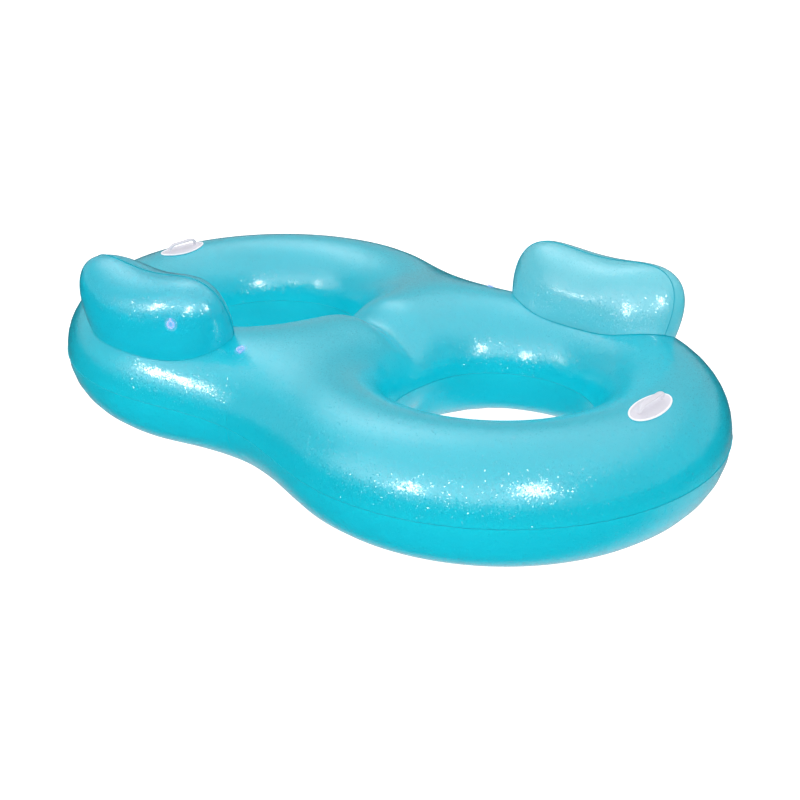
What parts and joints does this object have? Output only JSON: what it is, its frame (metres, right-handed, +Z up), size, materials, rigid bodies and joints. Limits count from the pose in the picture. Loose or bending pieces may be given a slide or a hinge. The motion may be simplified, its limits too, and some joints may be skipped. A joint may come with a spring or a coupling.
{
  "type": "double swim ring",
  "caption": "Inflatable figure-of-eight swim ring with side-by-side seats, backrest pillows, grab handles and push-in valves.",
  "frame": {"origin": "on the floor, midway between the two rings", "axes": "+X along the row of two rings towards the right-hand seat, +Y towards that seat's backrest, +Z up"},
  "size_m": [1.699, 0.989, 0.4019],
  "materials": {
    "vinyl": "pearly frosted turquoise vinyl film",
    "handle_vinyl": "off-white moulded vinyl",
    "valve_vinyl": "clear soft vinyl"
  },
  "bodies": {
    "float": {"float_top_sheet": "vinyl", "float_bottom_sheet": "vinyl", "bridge_baffle": "vinyl", "right_end_baffle": "vinyl", "left_end_baffle": "vinyl", "right_backrest_front": "vinyl", "right_backrest_rear": "vinyl", "left_backrest_front": "vinyl", "left_backrest_rear": "vinyl", "right_handle_pad": "handle_vinyl", "left_handle_pad": "handle_vinyl", "right_tube_valve_collar": "valve_vinyl", "right_backrest_valve_collar": "valve_vinyl", "left_tube_valve_collar": "valve_vinyl", "left_backrest_valve_collar": "valve_vinyl"},
    "right_grip": {"right_handle_grip": "handle_vinyl"},
    "left_grip": {"left_handle_grip": "handle_vinyl"},
    "right_tube_stem": {"right_tube_valve_stem": "valve_vinyl"},
    "right_tube_cap": {"right_tube_valve_cap": "valve_vinyl"},
    "right_tube_flap": {"right_tube_valve_flap": "valve_vinyl"},
    "right_backrest_stem": {"right_backrest_valve_stem": "valve_vinyl"},
    "right_backrest_cap": {"right_backrest_valve_cap": "valve_vinyl"},
    "right_backrest_flap": {"right_backrest_valve_flap": "valve_vinyl"},
    "left_tube_stem": {"left_tube_valve_stem": "valve_vinyl"},
    "left_tube_cap": {"left_tube_valve_cap": "valve_vinyl"},
    "left_tube_flap": {"left_tube_valve_flap": "valve_vinyl"},
    "left_backrest_stem": {"left_backrest_valve_stem": "valve_vinyl"},
    "left_backrest_cap": {"left_backrest_valve_cap": "valve_vinyl"},
    "left_backrest_flap": {"left_backrest_valve_flap": "valve_vinyl"}
  },
  "joints": [
    {"name": "right_grip_lean", "type": "hinge", "parent": "float", "child": "right_grip", "pos_m": [0.73577, 0, 0.27554], "axis": [-0.061, 0.9981, 0.0113], "range_deg": [-70, 70], "stiffness_Nm_per_rad": 0.05},
    {"name": "left_grip_lean", "type": "hinge", "parent": "float", "child": "left_grip", "pos_m": [-0.6999, 0, 0.27754], "axis": [0.061, -0.9981, -0.0044], "range_deg": [-70, 70], "stiffness_Nm_per_rad": 0.05},
    {"name": "right_tube_stem_pull", "type": "slide", "parent": "float", "child": "right_tube_stem", "axis": [-0.0304, 0.3688, 0.929], "range_m": [0, 0.014]},
    {"name": "right_tube_cap_open", "type": "hinge", "parent": "right_tube_stem", "child": "right_tube_cap", "pos_m": [0.0491, 0.34631, 0.26234], "axis": [-0.7297, -0.6434, 0.2315], "range_deg": [0, 150]},
    {"name": "right_tube_flap_open", "type": "hinge", "parent": "right_tube_stem", "child": "right_tube_flap", "pos_m": [0.05456, 0.3341, 0.24562], "axis": [0.7297, 0.6434, -0.2315], "range_deg": [0, 45], "stiffness_Nm_per_rad": 0.0005},
    {"name": "left_tube_stem_pull", "type": "slide", "parent": "float", "child": "left_tube_stem", "axis": [0.0304, -0.3688, 0.929], "range_m": [0, 0.014]},
    {"name": "left_tube_cap_open", "type": "hinge", "parent": "left_tube_stem", "child": "left_tube_cap", "pos_m": [-0.0491, -0.34631, 0.26234], "axis": [0.7297, 0.6434, 0.2315], "range_deg": [0, 150]},
    {"name": "left_tube_flap_open", "type": "hinge", "parent": "left_tube_stem", "child": "left_tube_flap", "pos_m": [-0.05456, -0.3341, 0.24562], "axis": [-0.7297, -0.6434, -0.2315], "range_deg": [0, 45], "stiffness_Nm_per_rad": 0.0005},
    {"name": "right_backrest_stem_pull", "type": "slide", "parent": "float", "child": "right_backrest_stem", "axis": [-0.3626, 0.9266, 0.0994], "range_m": [0, 0.014]},
    {"name": "right_backrest_cap_open", "type": "hinge", "parent": "right_backrest_stem", "child": "right_backrest_cap", "pos_m": [0.19993, 0.44123, 0.33206], "axis": [0.9312, 0.3644, 0], "range_deg": [0, 150]},
    {"name": "right_backrest_flap_open", "type": "hinge", "parent": "right_backrest_stem", "child": "right_backrest_flap", "pos_m": [0.20698, 0.42322, 0.32299], "axis": [-0.9312, -0.3644, 0], "range_deg": [0, 45], "stiffness_Nm_per_rad": 0.0005},
    {"name": "left_backrest_stem_pull", "type": "slide", "parent": "float", "child": "left_backrest_stem", "axis": [0.4263, -0.8991, 0.0994], "range_m": [0, 0.014]},
    {"name": "left_backrest_cap_open", "type": "hinge", "parent": "left_backrest_stem", "child": "left_backrest_cap", "pos_m": [-0.16953, -0.42934, 0.33206], "axis": [-0.9036, -0.4284, 0], "range_deg": [0, 150]},
    {"name": "left_backrest_flap_open", "type": "hinge", "parent": "left_backrest_stem", "child": "left_backrest_flap", "pos_m": [-0.17782, -0.41186, 0.32299], "axis": [0.9036, 0.4284, 0], "range_deg": [0, 45], "stiffness_Nm_per_rad": 0.0005}
  ]
}
